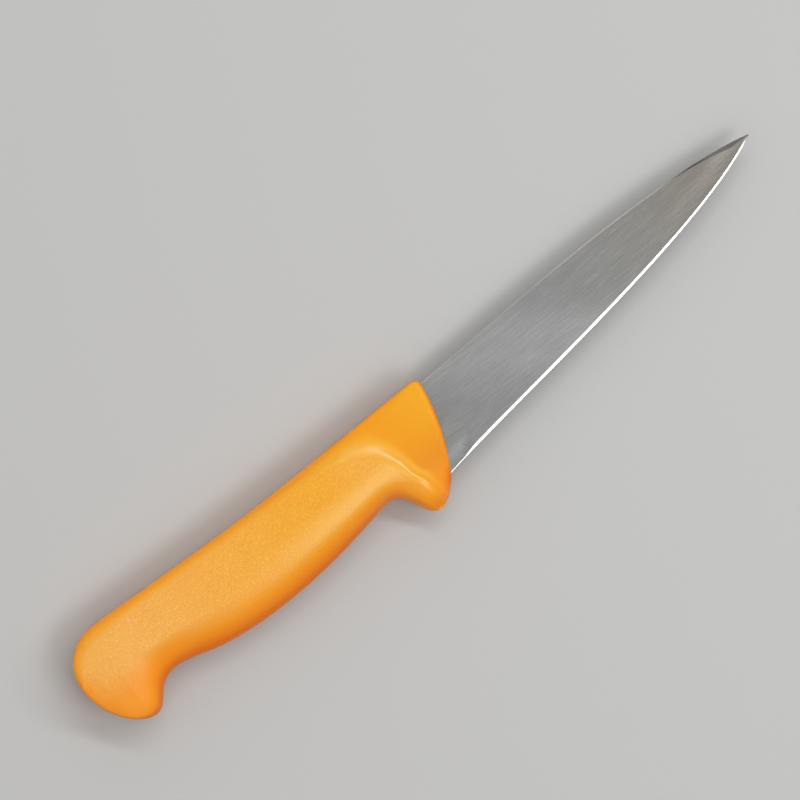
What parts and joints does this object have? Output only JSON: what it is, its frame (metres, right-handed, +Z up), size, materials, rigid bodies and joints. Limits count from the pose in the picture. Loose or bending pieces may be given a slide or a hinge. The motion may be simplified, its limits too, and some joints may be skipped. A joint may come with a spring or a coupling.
{
  "type": "boning knife",
  "caption": "Boning knife with a narrow ground steel blade and a moulded handle with a finger guard and a hooked butt, lying on its side.",
  "frame": {"origin": "middle of the knife's box, on the surface that it lies on", "axes": "+X from butt to tip, +Y towards the spine, +Z up through the thickness of the knife, which lies on its side"},
  "size_m": [0.289, 0.0428, 0.021],
  "materials": {
    "ground_steel": "satin ground lengthwise, with a polished cutting bevel",
    "amber_polymer": "fine-grained moulded grip, smoother at the bolster"
  },
  "bodies": {
    "root": {"blade": "ground_steel", "handle": "amber_polymer"}
  },
  "joints": []
}
